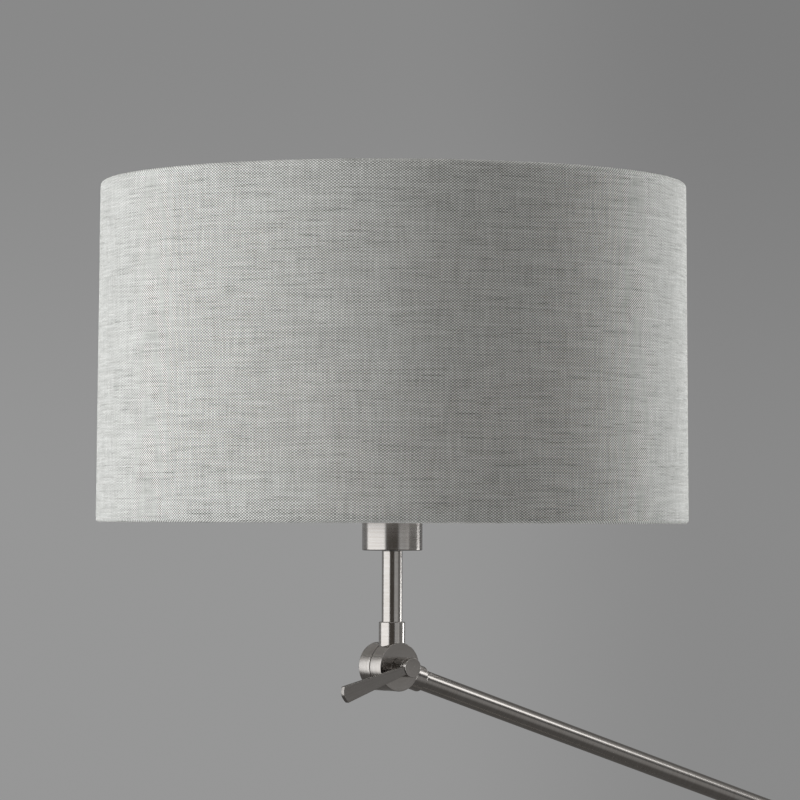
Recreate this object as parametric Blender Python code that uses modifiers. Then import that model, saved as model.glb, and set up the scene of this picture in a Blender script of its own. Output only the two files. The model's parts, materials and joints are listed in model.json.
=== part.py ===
"""Pharmacy floor lamp: weighted foot, telescopic pole, one arm between two locking elbows, drum shade.

The origin is the centre of the foot's underside, +Z is up, and the arm lies in the XZ plane with the
head towards -X. Both elbows turn about Y, and their levers are on the -Y side. Metres throughout.
"""

import math

import bmesh
import bpy
from mathutils import Matrix, Vector

# Driving dimensions
ARM_LENGTH = 0.550  # between the two elbow axes
ARM_SLOPE = math.radians(17.5)
POLE_ELBOW_Z = 1.100
TUBE_RADIUS = 0.0070  # upper pole, arm and stem are cut from one tube
TUBE_WALL = 0.0012
FIT = 0.0003  # clearance between pieces that touch
BORE_FIT = 0.0002  # the same, all round a turned piece in its bore

BASE_RADIUS = 0.150
BASE_HEIGHT = 0.024
BASE_WALL = 0.0010
PAD_THICK = 0.003
PAD_RADIUS = 0.144
WEIGHT_RADIUS = 0.136
WEIGHT_THICK = 0.0165
LOWER_POLE_RADIUS = 0.0095
LOWER_POLE_WALL = 0.0015
LOWER_POLE_TOP = 0.700
UPPER_POLE_FOOT = 0.412
COLLAR_RADIUS = 0.0135
COLLAR_TOP = 0.716
KNOB_Z = 0.706

DISC_RADIUS = 0.0165  # elbow halves
DISC_OUTER = 0.0090  # outer face of a half, from the axis of its neck
DISC_INNER = -0.0029  # mating face of a half
HALF_OFFSET = 0.0064  # between the neck axes of the two halves
NECK_RADIUS = 0.00895
NECK_LENGTH = 0.0304
SEAT_START = 0.0183
BOLT_RADIUS = 0.0030
LEVER_FRONT = 0.0147  # from the outer face of the front half to the front of the lever's boss
LEVER_BOSS_THICK = 0.0044
LEVER_BOSS_RADIUS = 0.0066
LEVER_LENGTH = 0.0595
BLADE_THICK = 0.0034
BLADE_ROOT = 0.0027  # half widths of the blade
BLADE_TIP = 0.0057
HEAD_LEVER_ANGLE = math.radians(197)
POLE_LEVER_ANGLE = math.radians(-17)

CUP_BOTTOM = 0.0785  # heights in the head are measured from its elbow axis
CUP_HEIGHT = 0.045
CUP_RADIUS = 0.0205
CUP_WALL = 0.0008
SHADE_BOTTOM = 0.0970
SHADE_HEIGHT = 0.2293
SHADE_BOTTOM_RADIUS = 0.2000
SHADE_TOP_RADIUS = 0.1980
FABRIC_THICK = 0.0008
LINER_THICK = 0.0005
WIRE_RADIUS = 0.0015
SPOKES = 3
HOLDER_RADIUS = 0.0193
HOLDER_BOTTOM = 0.0832
HOLDER_TOP = 0.1405
RING_NUT_RADIUS = 0.0290
RING_NUT_THICK = 0.0060
SPIDER_Z = 0.1323
LEAD_RADIUS = 0.0020

SHADE_STEPS = 48  # facets round a turned piece
FINE = 40
ROUND = 24
SMALL = 12

for old in list(bpy.data.objects):
    bpy.data.objects.remove(old, do_unlink=True)

parts = bpy.data.collections.new("pharmacy_floor_lamp")
cutters = bpy.data.collections.new("cutters")
bpy.context.scene.collection.children.link(parts)
bpy.context.scene.collection.children.link(cutters)
cutters.hide_render = True


def material(name, colour, roughness, metallic=0.0):
    made = bpy.data.materials.new(name)
    made.use_nodes = True
    shader = made.node_tree.nodes["Principled BSDF"]
    shader.inputs["Base Color"].default_value = (*colour, 1.0)
    shader.inputs["Roughness"].default_value = roughness
    shader.inputs["Metallic"].default_value = metallic
    return made


NICKEL = material("brushed_nickel", (0.62, 0.60, 0.57), 0.30, 1.0)
IRON = material("cast_iron", (0.12, 0.12, 0.12), 0.70, 0.8)
STEEL = material("plain_steel", (0.55, 0.55, 0.55), 0.40, 1.0)
BRASS = material("brass", (0.75, 0.58, 0.28), 0.35, 1.0)
RUBBER = material("rubber", (0.04, 0.04, 0.04), 0.80)
FOAM = material("foam_pad", (0.05, 0.05, 0.05), 0.90)
NYLON = material("nylon", (0.80, 0.79, 0.74), 0.50)
BAKELITE = material("moulded_plastic", (0.03, 0.03, 0.03), 0.35)
LEAD = material("lead_sleeve", (0.10, 0.10, 0.10), 0.55)
WHITE_WIRE = material("white_wire", (0.85, 0.85, 0.83), 0.40)
LINER = material("shade_liner", (0.90, 0.89, 0.85), 0.55)
LINEN = material("linen", (0.60, 0.58, 0.54), 0.90)
OPAL = material("opal_glass", (0.92, 0.92, 0.90), 0.25)


def basis(origin, along, out):
    """A placement whose local Z points out and whose local X points along."""
    z = Vector(out).normalized()
    x = Vector(along).normalized()
    turn = Matrix((x, z.cross(x), z)).transposed().to_4x4()
    return Matrix.Translation(origin) @ turn


UPRIGHT = basis((0, 0, 0), (1, 0, 0), (0, 0, 1))


def pivot(name, place, parent=None):
    """An empty on a joint's axis, which the pieces of one moving body hang from."""
    empty = bpy.data.objects.new(name, None)
    empty.parent = parent
    empty.matrix_local = place
    parts.objects.link(empty)
    return empty


def put(obj, finish, place, parent=None, cutter=False):
    obj.parent = parent
    obj.matrix_local = place
    if cutter:
        obj.display_type = "WIRE"
        obj.hide_render = True
        cutters.objects.link(obj)
    else:
        obj.data.materials.append(finish)
        parts.objects.link(obj)
    return obj


def turned(name, profile, finish=None, place=UPRIGHT, parent=None, steps=ROUND, cutter=False):
    """A profile of (radius, height) points, down the outer side, turned about local Z.

    A profile that starts and ends on the axis makes a solid piece, and any other is closed into a ring.
    """
    mesh = bpy.data.meshes.new(name)
    points = [(r, 0.0, z) for r, z in profile]
    edges = [(i, i + 1) for i in range(len(points) - 1)]
    if profile[0][0] > 0:
        edges.append((len(points) - 1, 0))
    mesh.from_pydata(points, edges, [])
    obj = put(bpy.data.objects.new(name, mesh), finish, place, parent, cutter)
    screw = obj.modifiers.new("turn", "SCREW")
    screw.steps = screw.render_steps = steps
    screw.use_merge_vertices = True
    screw.merge_threshold = 0.00001
    screw.use_smooth_shade = True
    return obj


def rod(name, radius, low, high, finish=None, place=UPRIGHT, parent=None, steps=ROUND, cutter=False):
    profile = [(0, high), (radius, high), (radius, low), (0, low)]
    return turned(name, profile, finish, place, parent, steps, cutter)


def ring(name, outer, inner, low, high, finish, place=UPRIGHT, parent=None, steps=ROUND, edge=0.0):
    """A tube or washer, with its outer edges chamfered by edge."""
    profile = [(outer - edge, high), (outer, high - edge), (outer, low + edge), (outer - edge, low)]
    if not edge:
        profile = [(outer, high), (outer, low)]
    return turned(name, profile + [(inner, low), (inner, high)], finish, place, parent, steps)


def combine(obj, other, operation):
    change = obj.modifiers.new(other.name, "BOOLEAN")
    change.object = other
    change.operation = operation
    change.solver = "EXACT"


def drill(obj, name, radius, low, high, place, parent=None, steps=SMALL):
    combine(obj, rod(name, radius, low, high, None, place, parent, steps, True), "DIFFERENCE")


def plate(name, outlines, thick, finish=None, place=UPRIGHT, parent=None, cutter=False):
    """A flat piece between z = 0 and thick, cut to closed outlines of (x, y) points; inner ones are holes."""
    curve = bpy.data.curves.new(name, "CURVE")
    curve.dimensions = "2D"
    curve.fill_mode = "BOTH"
    curve.extrude = thick / 2
    for outline in outlines:
        spline = curve.splines.new("POLY")
        spline.points.add(len(outline) - 1)
        spline.use_cyclic_u = True
        for point, (x, y) in zip(spline.points, outline):
            point.co = (x, y, 0, 1)
    flat = bpy.data.objects.new(name + "_outline", curve)
    cutters.objects.link(flat)
    bpy.context.view_layer.update()
    mesh = bpy.data.meshes.new_from_object(flat.evaluated_get(bpy.context.evaluated_depsgraph_get()))
    bpy.data.objects.remove(flat)
    work = bmesh.new()
    work.from_mesh(mesh)
    bmesh.ops.remove_doubles(work, verts=work.verts, dist=0.000005)
    bmesh.ops.translate(work, verts=work.verts, vec=(0, 0, thick / 2))
    bmesh.ops.recalc_face_normals(work, faces=work.faces)
    work.to_mesh(mesh)
    work.free()
    mesh.name = name
    return put(bpy.data.objects.new(name, mesh), finish, place, parent, cutter)


def circle(radius, count, start=0.0):
    turn = 2 * math.pi / count
    return [(radius * math.cos(start + i * turn), radius * math.sin(start + i * turn)) for i in range(count)]


def wire(name, points, radius, finish, parent=None, cyclic=False, sides=2):
    """A round wire or lead along a list of points."""
    curve = bpy.data.curves.new(name, "CURVE")
    curve.dimensions = "3D"
    curve.bevel_depth = radius
    curve.bevel_resolution = sides
    curve.use_fill_caps = not cyclic
    spline = curve.splines.new("POLY")
    spline.points.add(len(points) - 1)
    spline.use_cyclic_u = cyclic
    for point, place in zip(spline.points, points):
        point.co = (*place, 1)
    return put(bpy.data.objects.new(name, curve), finish, UPRIGHT, parent)


def eased(start, end, count):
    """Points of an S-shaped step from start to end, level with z at both ends."""
    path = []
    for i in range(count + 1):
        t = i / count
        blend = t * t * (3 - 2 * t)
        path.append((start[0] + (end[0] - start[0]) * blend, start[1] + (end[1] - start[1]) * blend,
                     start[2] + (end[2] - start[2]) * t))
    return path


# ---- The foot ------------------------------------------------------------------------------------

WEIGHT_LOW = PAD_THICK + FIT
WEIGHT_HIGH = WEIGHT_LOW + WEIGHT_THICK
NUT_POCKET_TOP = WEIGHT_LOW + 0.0122
GLAND_Z = 0.0105
NIPPLE_RADIUS = 0.0050
LEAD_LOW = WEIGHT_LOW + LEAD_RADIUS + FIT


def make_foot():
    rod("base_pad", PAD_RADIUS, 0, PAD_THICK, FOAM, steps=FINE)
    weight = turned("base_weight", [
        (WEIGHT_RADIUS - 0.002, WEIGHT_HIGH), (WEIGHT_RADIUS, WEIGHT_HIGH - 0.002),
        (WEIGHT_RADIUS, WEIGHT_LOW), (0.016, WEIGHT_LOW), (0.016, NUT_POCKET_TOP),
        (NIPPLE_RADIUS + BORE_FIT, NUT_POCKET_TOP), (NIPPLE_RADIUS + BORE_FIT, WEIGHT_HIGH)],
        IRON, steps=FINE)
    channel = bpy.data.meshes.new("lead_channel")
    work = bmesh.new()
    bmesh.ops.create_cube(work, size=1.0)
    bmesh.ops.scale(work, verts=work.verts, vec=(0.132, 0.008, 0.024))
    bmesh.ops.translate(work, verts=work.verts, vec=(0.014 + 0.066, 0, 0.0025))
    work.to_mesh(channel)
    work.free()
    combine(weight, put(bpy.data.objects.new("lead_channel", channel), None, UPRIGHT, cutter=True),
            "DIFFERENCE")

    shoulder = 0.006
    low = 0.0015
    outer = [(BASE_RADIUS - shoulder + shoulder * math.sin(a), BASE_HEIGHT - shoulder + shoulder * math.cos(a))
             for a in (math.radians(22.5 * i) for i in range(5))]
    inner = [(r - BASE_WALL * math.sin(a), z - BASE_WALL * math.cos(a))
             for (r, z), a in zip(outer, (math.radians(22.5 * i) for i in range(5)))]
    hole = NIPPLE_RADIUS + BORE_FIT
    cover = turned("base_cover", [(hole, BASE_HEIGHT)] + outer + [(BASE_RADIUS, low),
                   (BASE_RADIUS - BASE_WALL, low)] + inner[::-1] + [(hole, BASE_HEIGHT - BASE_WALL)],
                   NICKEL, steps=SHADE_STEPS)
    rear = basis((0, 0, GLAND_Z), (0, 1, 0), (1, 0, 0))
    drill(cover, "gland_hole", 0.0048, 0.140, 0.160, rear)
    turned("cord_gland", [(0.0050, 0.1518), (0.0060, 0.1510), (0.0060, BASE_RADIUS + FIT),
                          (0.0044, BASE_RADIUS + FIT), (0.0044, 0.1430), (0.0030, 0.1430),
                          (0.0030, 0.1518)], RUBBER, rear, steps=SMALL)

    nipple_low = WEIGHT_LOW + 0.0048
    ring("base_nipple", NIPPLE_RADIUS, 0.0039, nipple_low, 0.050, STEEL, steps=SMALL)
    nut_place = basis((0, 0, nipple_low + 0.0004), (1, 0, 0), (0, 0, 1))
    plate("base_nut", [circle(0.0081, 6), circle(NIPPLE_RADIUS + BORE_FIT, SMALL)], 0.0050, STEEL, nut_place)
    ring("base_washer", 0.0120, NIPPLE_RADIUS + BORE_FIT, nipple_low + 0.0057, NUT_POCKET_TOP - FIT,
         STEEL, steps=SMALL)

    turned("pole_foot_collar", [
        (0.0118, 0.0380), (0.0125, 0.0373), (0.0135, 0.0300), (0.0165, 0.0262), (0.0165, BASE_HEIGHT + FIT),
        (LOWER_POLE_RADIUS + BORE_FIT, BASE_HEIGHT + FIT), (LOWER_POLE_RADIUS + BORE_FIT, 0.0380)], NICKEL)
    ring("pole_foot_plug", LOWER_POLE_RADIUS - LOWER_POLE_WALL - BORE_FIT, NIPPLE_RADIUS + BORE_FIT,
         BASE_HEIGHT + FIT, 0.054, STEEL, steps=SMALL)
    bend = 0.004
    path = [(0.1420, 0, GLAND_Z), (0.1380, 0, GLAND_Z - 0.0004), (0.1330, 0, GLAND_Z - 0.0020),
            (0.1280, 0, LEAD_LOW + 0.0008), (0.1230, 0, LEAD_LOW), (0.0600, 0, LEAD_LOW)]
    for i in range(6):
        a = math.radians(18 * i)
        path.append((bend - bend * math.sin(a), 0, LEAD_LOW + bend - bend * math.cos(a)))
    path.append((0, 0, 0.090))
    wire("base_lead", path, LEAD_RADIUS, LEAD)


# ---- The pole ------------------------------------------------------------------------------------

POLE_BORE = LOWER_POLE_RADIUS - LOWER_POLE_WALL


def make_lower_pole():
    ring("lower_pole", LOWER_POLE_RADIUS, POLE_BORE, BASE_HEIGHT + FIT, LOWER_POLE_TOP, NICKEL)
    wide = LOWER_POLE_RADIUS + BORE_FIT
    lip = TUBE_RADIUS + 0.0005
    collar = turned("clamp_collar", [
        (COLLAR_RADIUS - 0.001, COLLAR_TOP), (COLLAR_RADIUS, COLLAR_TOP - 0.001), (COLLAR_RADIUS, 0.681),
        (COLLAR_RADIUS - 0.001, 0.680), (wide, 0.680), (wide, COLLAR_TOP - 0.004),
        (lip, COLLAR_TOP - 0.004), (lip, COLLAR_TOP)], NICKEL)
    bush = ring("collar_bush", LOWER_POLE_RADIUS, TUBE_RADIUS + BORE_FIT, LOWER_POLE_TOP + FIT,
                COLLAR_TOP - 0.004 - FIT, NYLON)
    side = basis((0, 0, KNOB_Z), (0, 1, 0), (1, 0, 0))
    drill(collar, "knob_hole", 0.0028, 0.0, 0.020, side)
    drill(bush, "bush_hole", 0.0029, 0.0, 0.020, side)

    knob = pivot("clamp_knob_axis", side)
    rod("clamp_screw", 0.0025, TUBE_RADIUS + FIT, 0.0262, STEEL, UPRIGHT, knob, SMALL)
    ridges = 20
    outline = [((0.0092 if i % 2 else 0.0086) * math.cos(math.pi * i / ridges),
                (0.0092 if i % 2 else 0.0086) * math.sin(math.pi * i / ridges)) for i in range(2 * ridges)]
    grip = plate("clamp_knob", [outline, circle(0.0027, SMALL)], 0.0105, NICKEL,
                 Matrix.Translation((0, 0, 0.0175)), knob)
    boss = turned("knob_boss", [(0.0055, 0.0185), (0.0055, 0.0140), (0.0027, 0.0140), (0.0027, 0.0185)],
                  None, UPRIGHT, knob, SMALL, True)
    combine(grip, boss, "UNION")


def make_upper_pole(swivel):
    """The tube and the lead inside it, from the guide bush to the neck of the pole elbow."""
    top = POLE_ELBOW_Z - SEAT_START - BORE_FIT - UPPER_POLE_FOOT
    ring("upper_pole", TUBE_RADIUS, TUBE_RADIUS - TUBE_WALL, FIT, top, NICKEL, UPRIGHT, swivel)
    middle = top - 0.020
    path = [(0, 0, 0.006 + (middle - 0.006) * i / 4) for i in range(5)]
    path += eased((0, 0, middle), (0, -0.0030, top + 0.0050), 6)[1:]
    path.append((0, -0.0030, top + 0.0090))
    wire("pole_lead", path, LEAD_RADIUS, LEAD, swivel)


# ---- The elbows ----------------------------------------------------------------------------------


def elbow_half(name, parent, height, neck, out, bolt_seat):
    """A disc with a neck. Neck is +1 or -1 along local Z of the parent, out is +1 or -1 along its Y."""
    y = HALF_OFFSET if out > 0 else 0.0
    frame = basis((0, y, height), Vector((0, 0, neck)).cross(Vector((0, out, 0))), (0, out, 0))
    bore = BOLT_RADIUS + BORE_FIT
    edge = 0.0005
    profile = [(DISC_RADIUS - edge, DISC_OUTER), (DISC_RADIUS, DISC_OUTER - edge),
               (DISC_RADIUS, DISC_INNER + edge), (DISC_RADIUS - edge, DISC_INNER),
               (0.0125, DISC_INNER), (0.0125, 0.0065), (0.0070, 0.0065), (0.0070, DISC_INNER + edge),
               (bore, DISC_INNER + edge)]
    if bolt_seat:
        profile += [(bore, 0.0040), (0.0056, 0.0040), (0.0056, DISC_OUTER)]
    else:
        profile += [(bore, DISC_OUTER)]
    half = turned(name, profile, NICKEL, frame, parent, ROUND)

    up = basis((0, y, height), (1, 0, 0), (0, 0, neck))
    stub = turned(name + "_neck", [
        (0, NECK_LENGTH), (NECK_RADIUS - 0.0004, NECK_LENGTH), (NECK_RADIUS, NECK_LENGTH - 0.0004),
        (NECK_RADIUS, 0.0135), (0, 0.0135)], None, up, parent, ROUND, True)
    combine(stub, rod(name + "_cope", DISC_RADIUS + 0.0006, -0.0150, DISC_INNER + 0.00005, None, frame,
                      parent, ROUND, True), "DIFFERENCE")
    combine(half, stub, "UNION")
    drill(half, name + "_seat", TUBE_RADIUS + BORE_FIT, SEAT_START, NECK_LENGTH + 0.002, up, parent, ROUND)
    passage = basis((0, y + out * 0.0030, height), (1, 0, 0), (0, 0, neck))
    drill(half, name + "_passage", 0.00325, 0.0100, SEAT_START + 0.001, passage, parent)
    drill(half, name + "_screw_hole", 0.0021, 0.0, 0.012, grub_place(y, height, neck), parent, 12)
    return half


def grub_place(y, height, neck):
    """The grub screw goes in from +Y, half way down the seat."""
    return basis((0, y, height + neck * (SEAT_START + NECK_LENGTH) / 2), (1, 0, 0), (0, 1, 0))


def grub_screw(name, parent, y, height, neck):
    place = grub_place(y, height, neck)
    socket = circle(0.0009, 6)
    screw = rod(name, 0.0018, TUBE_RADIUS + 0.00025, NECK_RADIUS - 0.0001, STEEL, place, parent, 16)
    tip = Matrix.Translation((0, 0, NECK_RADIUS - 0.0008))
    combine(screw, plate(name + "_socket", [socket], 0.0010, None, place @ tip, parent, True), "DIFFERENCE")


def lever(name, parent, angle):
    """A tapered flat blade with a round boss, which turns on the elbow's bolt."""
    back = -DISC_OUTER - LEVER_FRONT + LEVER_BOSS_THICK
    place = basis((0, back, 0), (math.cos(angle), 0, math.sin(angle)), (0, -1, 0))
    boss = turned(name, [
        (0, LEVER_BOSS_THICK), (LEVER_BOSS_RADIUS - 0.0004, LEVER_BOSS_THICK),
        (LEVER_BOSS_RADIUS, LEVER_BOSS_THICK - 0.0004), (LEVER_BOSS_RADIUS, 0),
        (BOLT_RADIUS + BORE_FIT, 0), (BOLT_RADIUS + BORE_FIT, 0.0032), (0, 0.0032)],
        NICKEL, place, parent, ROUND)
    end = 0.0020  # how far the tip bulges
    tip = [(LEVER_LENGTH - end * (1 - math.cos(t * math.pi / 2)), BLADE_TIP * t)
           for t in (i / 4 for i in range(-4, 5))]
    blade = plate(name + "_blade", [[(0.0045, -BLADE_ROOT)] + tip + [(0.0045, BLADE_ROOT)]], BLADE_THICK,
                  None, place @ Matrix.Translation((0, 0, 0.0002)), parent, True)
    combine(boss, blade, "UNION")


def elbow_hardware(prefix, front, rear, height):
    """The pieces on an elbow's bolt. Front is the body with the spacer, rear the one with the bolt head."""
    place = basis((0, 0, height[0]), (1, 0, 0), (0, -1, 0))
    boss_back = DISC_OUTER + LEVER_FRONT - LEVER_BOSS_THICK
    ring(prefix + "_spacer", 0.00665, BOLT_RADIUS + BORE_FIT, DISC_OUTER + FIT, boss_back - FIT, NICKEL,
         place, front, ROUND, 0.0003)
    face = -DISC_INNER - 0.0005
    ring(prefix + "_friction_washer", 0.0064, BOLT_RADIUS + BORE_FIT, -face - 0.0016 + 0.0001,
         -face - 0.0001, NYLON, place, front, SMALL)

    place = basis((0, 0, height[1]), (1, 0, 0), (0, 1, 0))
    seat = HALF_OFFSET + 0.0040
    turned(prefix + "_spring_washer", [
        (0.0051, seat + 0.0008), (0.0051, seat + 0.0002), (BOLT_RADIUS + BORE_FIT, seat + 0.0006),
        (BOLT_RADIUS + BORE_FIT, seat + 0.0012)], STEEL, place, rear, SMALL)
    head = seat + 0.0015
    bolt = turned(prefix + "_bolt", [
        (0, head + 0.0026), (0.0050, head + 0.0026), (0.0050, head), (BOLT_RADIUS, head),
        (BOLT_RADIUS, -boss_back - 0.0029), (0, -boss_back - 0.0029)], STEEL, place, rear, SMALL)
    socket = plate(prefix + "_bolt_socket", [circle(0.0023, 6)], 0.0030, None,
                   place @ Matrix.Translation((0, 0, head + 0.0010)), rear, True)
    combine(bolt, socket, "DIFFERENCE")
    outer = HALF_OFFSET + DISC_OUTER
    turned(prefix + "_rear_cap", [
        (0, outer + 0.0018), (0.0062, outer + 0.0018), (0.0070, outer + 0.0012), (0.0070, outer + FIT),
        (0.0053, outer + FIT), (0.0053, outer - 0.0006), (0, outer - 0.0006)], NICKEL, place, rear, ROUND)


# ---- The head ------------------------------------------------------------------------------------


def make_stem(head):
    top = CUP_BOTTOM - FIT
    ring("stem_tube", TUBE_RADIUS, TUBE_RADIUS - TUBE_WALL, SEAT_START + BORE_FIT, top, NICKEL, UPRIGHT, head)
    turned("stem_nipple", [
        (NIPPLE_RADIUS, 0.0940), (NIPPLE_RADIUS, top), (TUBE_RADIUS - TUBE_WALL - BORE_FIT, top),
        (TUBE_RADIUS - TUBE_WALL - BORE_FIT, 0.0620), (0.0030, 0.0620), (0.0030, 0.0940)],
        STEEL, UPRIGHT, head, SMALL)
    nut = Matrix.Translation((0, 0, CUP_BOTTOM + CUP_WALL + FIT))
    plate("stem_nut", [circle(0.0081, 6), circle(NIPPLE_RADIUS + BORE_FIT, SMALL)], 0.0030, STEEL, nut, head)
    low = CUP_BOTTOM
    high = CUP_BOTTOM + CUP_HEIGHT
    edge = 0.0008
    turned("socket_cup", [
        (CUP_RADIUS, high), (CUP_RADIUS, low + edge), (CUP_RADIUS - 0.3 * edge, low + 0.3 * edge),
        (CUP_RADIUS - edge, low), (NIPPLE_RADIUS + BORE_FIT, low), (NIPPLE_RADIUS + BORE_FIT, low + CUP_WALL),
        (CUP_RADIUS - CUP_WALL - 0.0004, low + CUP_WALL), (CUP_RADIUS - CUP_WALL, low + CUP_WALL + 0.0004),
        (CUP_RADIUS - CUP_WALL, high)], NICKEL, UPRIGHT, head, 32)
    path = [(0, -0.0030, 0.0105), (0, -0.0030, 0.0135)] + eased((0, -0.0030, 0.0135), (0, 0, 0.0380), 6)[1:]
    path.append((0, 0, 0.0900))
    wire("stem_lead", path, LEAD_RADIUS, LEAD, head)


def make_lampholder(head):
    floor = HOLDER_BOTTOM + 0.0068
    turned("lampholder_body", [
        (HOLDER_RADIUS, HOLDER_TOP), (HOLDER_RADIUS, HOLDER_BOTTOM + 0.002),
        (HOLDER_RADIUS - 0.002, HOLDER_BOTTOM), (NIPPLE_RADIUS + BORE_FIT, HOLDER_BOTTOM),
        (NIPPLE_RADIUS + BORE_FIT, floor), (0.0145, floor), (0.0145, HOLDER_TOP)],
        BAKELITE, UPRIGHT, head)
    ring("screw_shell", 0.0142, 0.0137, floor + FIT, 0.1320, BRASS, UPRIGHT, head, SMALL + 8)
    turned("centre_contact", [(0, 0.0972), (0.0025, 0.0966), (0.0025, 0.0943), (0, 0.0943)],
           BRASS, UPRIGHT, head, 16)
    bottom = SPIDER_Z - 0.0010 - FIT
    ring("lower_ring_nut", RING_NUT_RADIUS, HOLDER_RADIUS + BORE_FIT, bottom - RING_NUT_THICK, bottom,
         BAKELITE, UPRIGHT, head, ROUND, 0.0008)
    top = SPIDER_Z + 0.0010 + FIT
    ring("upper_ring_nut", RING_NUT_RADIUS - 0.002, HOLDER_RADIUS + BORE_FIT, top, top + RING_NUT_THICK,
         BAKELITE, UPRIGHT, head, ROUND, 0.0008)
    turned("bulb_cap", [
        (0, 0.1238), (0.0131, 0.1238), (0.0131, 0.1030), (0.0060, 0.0985), (0.0045, 0.0976), (0, 0.0976)],
        BRASS, UPRIGHT, head, SMALL + 8)
    neck, globe, centre, wall = 0.0133, 0.0300, 0.1740, 0.0010
    outer = [(globe * math.cos(a), centre + globe * math.sin(a))
             for a in (math.radians(90 - 20 * i) for i in range(1, 7))]
    inner = [((globe - wall) * math.cos(a), centre + (globe - wall) * math.sin(a))
             for a in (math.radians(90 - 20 * i) for i in range(1, 7))]
    turned("bulb_glass", [(0, centre + globe)] + outer + [(neck + 0.0006, 0.1425), (neck, 0.1241),
           (neck - wall, 0.1241), (neck + 0.0006 - wall, 0.1430)] + inner[::-1] + [(0, centre + globe - wall)],
           OPAL, UPRIGHT, head, SMALL + 8)


def shade_radius(height):
    """Outer radius of the fabric at a height above the shade's bottom."""
    return SHADE_BOTTOM_RADIUS + (SHADE_TOP_RADIUS - SHADE_BOTTOM_RADIUS) * height / SHADE_HEIGHT


def band(name, inset, thick, trim, finish, head):
    """A wall of the shade, inset from the fabric's outside and trimmed short at both rims."""
    low, high = SHADE_BOTTOM + trim, SHADE_BOTTOM + SHADE_HEIGHT - trim
    outer_low = shade_radius(trim) - inset
    outer_high = shade_radius(SHADE_HEIGHT - trim) - inset
    return turned(name, [(outer_high, high), (outer_low, low), (outer_low - thick, low),
                         (outer_high - thick, high)], finish, UPRIGHT, head, SHADE_STEPS)


def make_shade(head):
    band("shade_fabric", 0.0, FABRIC_THICK, 0.0, LINEN, head)
    liner_inset = FABRIC_THICK + FIT
    band("shade_liner", liner_inset, LINER_THICK, 0.0004, LINER, head)
    ring_inset = liner_inset + LINER_THICK + 0.0004 + WIRE_RADIUS
    ring_trim = 0.0022
    for name, height in (("bottom_ring", ring_trim), ("top_ring", SHADE_HEIGHT - ring_trim)):
        radius = shade_radius(height) - ring_inset
        points = [(x, y, SHADE_BOTTOM + height) for x, y in circle(radius, SHADE_STEPS)]
        wire(name, points, WIRE_RADIUS, WHITE_WIRE, head, True, 0)
    ring("spider_hub", RING_NUT_RADIUS, HOLDER_RADIUS + 0.0004, SPIDER_Z - 0.0010, SPIDER_Z + 0.0010,
         WHITE_WIRE, UPRIGHT, head)
    end_radius = shade_radius(ring_trim) - ring_inset - 0.0016
    ring_z = SHADE_BOTTOM + ring_trim + 0.0030
    for i in range(SPOKES):
        turn = math.radians(30 + 360 * i / SPOKES)
        side = [(RING_NUT_RADIUS + FIT, SPIDER_Z), (0.146, SPIDER_Z), (0.150, SPIDER_Z - 0.0005),
                (0.154, SPIDER_Z - 0.0022), (end_radius, ring_z)]
        wire(f"spoke_{i + 1}", [(r * math.cos(turn), r * math.sin(turn), z) for r, z in side],
             WIRE_RADIUS, WHITE_WIRE, head)


# ---- The lamp ------------------------------------------------------------------------------------

make_foot()
make_lower_pole()

slide = pivot("pole_slide_axis", Matrix.Translation((0, 0, UPPER_POLE_FOOT)))
turned("guide_bush", [
    (TUBE_RADIUS - TUBE_WALL - BORE_FIT, 0.018), (TUBE_RADIUS - TUBE_WALL - BORE_FIT, 0),
    (POLE_BORE - BORE_FIT, 0), (POLE_BORE - BORE_FIT, -0.012), (0.0030, -0.012), (0.0030, 0.018)],
    NYLON, UPRIGHT, slide, SMALL + 8)
swivel = pivot("pole_swivel_axis", Matrix.Identity(4), slide)
make_upper_pole(swivel)

pole_elbow = POLE_ELBOW_Z - UPPER_POLE_FOOT
elbow_half("pole_elbow_half", swivel, pole_elbow, -1, -1, False)
grub_screw("pole_grub_screw", swivel, 0.0, pole_elbow, -1)
pole_lever_axis = pivot("pole_lever_axis", Matrix.Translation((0, 0, pole_elbow)), swivel)
lever("pole_lever", pole_lever_axis, POLE_LEVER_ANGLE)

arm = pivot("arm_axis", Matrix.Translation((0, 0, pole_elbow)) @
            Matrix.Rotation(ARM_SLOPE - math.pi / 2, 4, "Y"), swivel)
elbow_half("arm_lower_half", arm, 0.0, 1, 1, True)
elbow_half("arm_upper_half", arm, ARM_LENGTH, -1, 1, True)
tube_end = SEAT_START + BORE_FIT
arm_line = Matrix.Translation((0, HALF_OFFSET, 0))
ring("arm_tube", TUBE_RADIUS, TUBE_RADIUS - TUBE_WALL, tube_end, ARM_LENGTH - tube_end, NICKEL, arm_line, arm)
grub_screw("arm_lower_grub_screw", arm, HALF_OFFSET, 0.0, 1)
grub_screw("arm_upper_grub_screw", arm, HALF_OFFSET, ARM_LENGTH, -1)
side_y = HALF_OFFSET + 0.0030
lead_path = [(0, side_y, 0.0105), (0, side_y, 0.0135)] + eased(
    (0, side_y, 0.0135), (0, HALF_OFFSET, 0.0380), 6)[1:]
lead_path += [(x, y, ARM_LENGTH - z) for x, y, z in lead_path[::-1]]
wire("arm_lead", lead_path, LEAD_RADIUS, LEAD, arm)

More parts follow.
